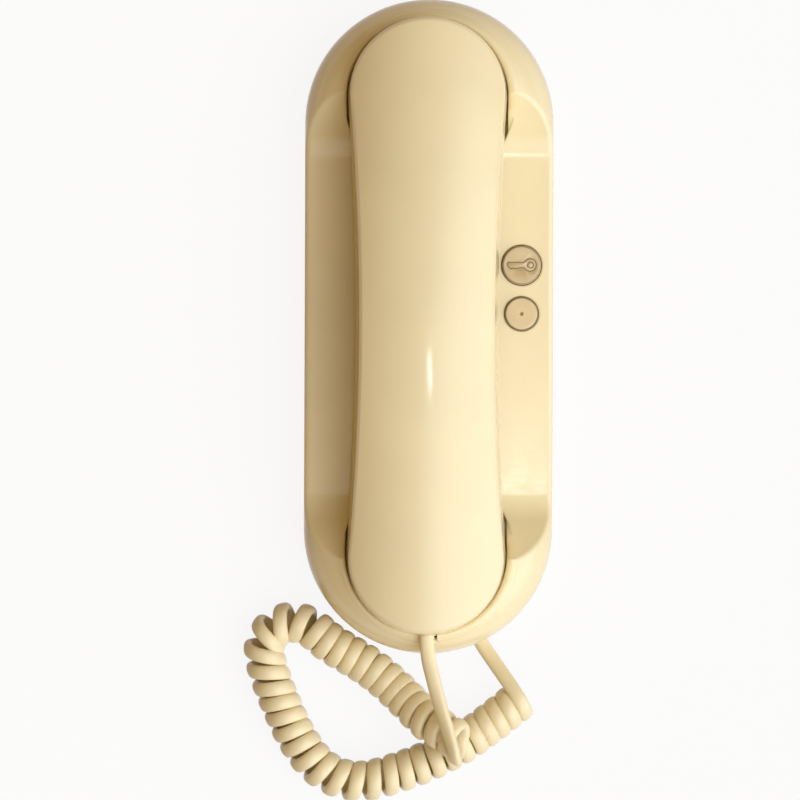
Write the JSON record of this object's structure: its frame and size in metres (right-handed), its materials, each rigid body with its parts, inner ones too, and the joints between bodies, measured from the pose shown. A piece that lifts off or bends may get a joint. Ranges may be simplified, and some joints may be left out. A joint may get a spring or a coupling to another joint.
{
  "type": "audio intercom handset",
  "caption": "Wall intercom with a crowned handset resting in two round wells of a long case, two push buttons beside it and a curly cord.",
  "frame": {"origin": "centre of the case's flat back face, which lies on the wall", "axes": "+X to the right of the unit, +Y up the wall to the ear end, +Z out of the wall"},
  "size_m": [0.1034, 0.2689, 0.0575],
  "materials": {
    "cream_plastic": "moulded, satin gloss",
    "button_plastic": "moulded, satin gloss",
    "cord_jacket": "smooth flexible jacket",
    "grommet_rubber": "moulded rubber",
    "foam_rubber": "foam",
    "silicone": "translucent silicone",
    "black_plastic": "moulded",
    "clamp_plastic": "moulded",
    "terminal_plastic": "moulded",
    "board": "laminate",
    "capacitor_sleeve": "sleeved",
    "wire_insulation": "insulated",
    "screw_steel": "zinc plated",
    "spring_steel": "spring wire",
    "core_steel": "laminated",
    "receiver_steel": "pressed",
    "terminal_brass": "plated",
    "microphone_aluminium": "drawn can"
  },
  "bodies": {
    "case": {"front_cover": "cream_plastic", "base_plate": "cream_plastic", "cover_screw": "screw_steel", "circuit_board": "board", "board_screws": "screw_steel", "terminal_block": "terminal_plastic", "terminal_screws": "terminal_brass", "buzzer": "black_plastic", "transformer": "core_steel", "capacitors": "capacitor_sleeve", "key_dome": "silicone", "aux_dome": "silicone", "hook_spring": "spring_steel", "hook_switch": "black_plastic", "base_gland": "grommet_rubber", "base_cord_tail": "cord_jacket", "cord_clamp": "clamp_plastic", "clamp_screws": "screw_steel", "base_wires": "wire_insulation", "curly_cord": "cord_jacket", "base_lead": "cord_jacket", "handset_lead": "cord_jacket"},
    "handset": {"handset_back_shell": "cream_plastic", "handset_inner_shell": "cream_plastic", "handset_screws": "screw_steel", "receiver_gasket": "foam_rubber", "receiver": "receiver_steel", "microphone_holder": "grommet_rubber", "microphone": "microphone_aluminium", "handset_gland": "grommet_rubber", "handset_cord_tail": "cord_jacket", "handset_wires": "wire_insulation"},
    "key": {"key_button": "button_plastic"},
    "aux": {"aux_button": "button_plastic"},
    "hook": {"hook_plunger": "cream_plastic"}
  },
  "joints": [
    {"name": "handset_lift", "type": "slide", "parent": "case", "child": "handset", "axis": [0, 0, 1], "range_m": [0, 0.035]},
    {"name": "hook_rise", "type": "slide", "parent": "case", "child": "hook", "axis": [0, 0, 1], "range_m": [0, 0.005], "deforming": ["hook_spring"]},
    {"name": "key_press", "type": "slide", "parent": "case", "child": "key", "axis": [0, 0, -1], "range_m": [0, 0.0015], "stiffness_N_per_m": 400, "springref_m": -0.0005, "deforming": ["key_dome"]},
    {"name": "aux_press", "type": "slide", "parent": "case", "child": "aux", "axis": [0, 0, -1], "range_m": [0, 0.0015], "stiffness_N_per_m": 400, "springref_m": -0.0005, "deforming": ["aux_dome"]}
  ],
  "couplings": [
    {"joint": "hook_rise", "follows": "handset_lift", "ratio": 0.14286}
  ]
}
